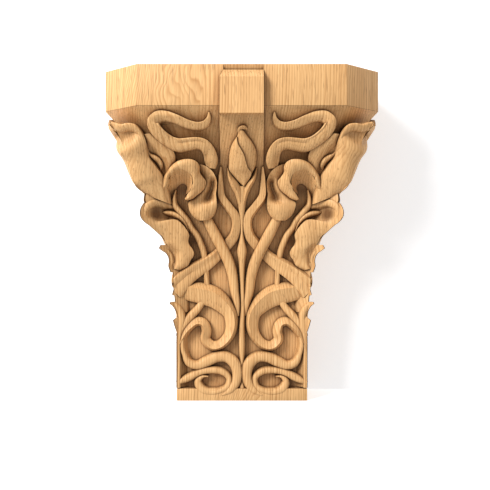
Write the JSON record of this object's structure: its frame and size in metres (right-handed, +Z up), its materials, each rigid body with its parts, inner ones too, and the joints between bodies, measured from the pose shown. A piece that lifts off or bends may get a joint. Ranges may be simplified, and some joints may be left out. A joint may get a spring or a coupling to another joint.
{
  "type": "carved wooden capital",
  "caption": "Wall capital carved from one block of wood: square abacus with cut corners over a flared bell, irises and whiplash ribbons in relief, flat back and underside",
  "frame": {"origin": "middle of the flat underside of the base slab, at the middle of the seating face", "axes": "+X to the right seen from the front, -Y to the front, +Y into the wall behind the flat back, +Z up to the abacus"},
  "size_m": [0.2856, 0.152, 0.351],
  "materials": {
    "carved_wood": "satin"
  },
  "bodies": {
    "root": {"capital_block": "carved_wood"}
  },
  "joints": []
}
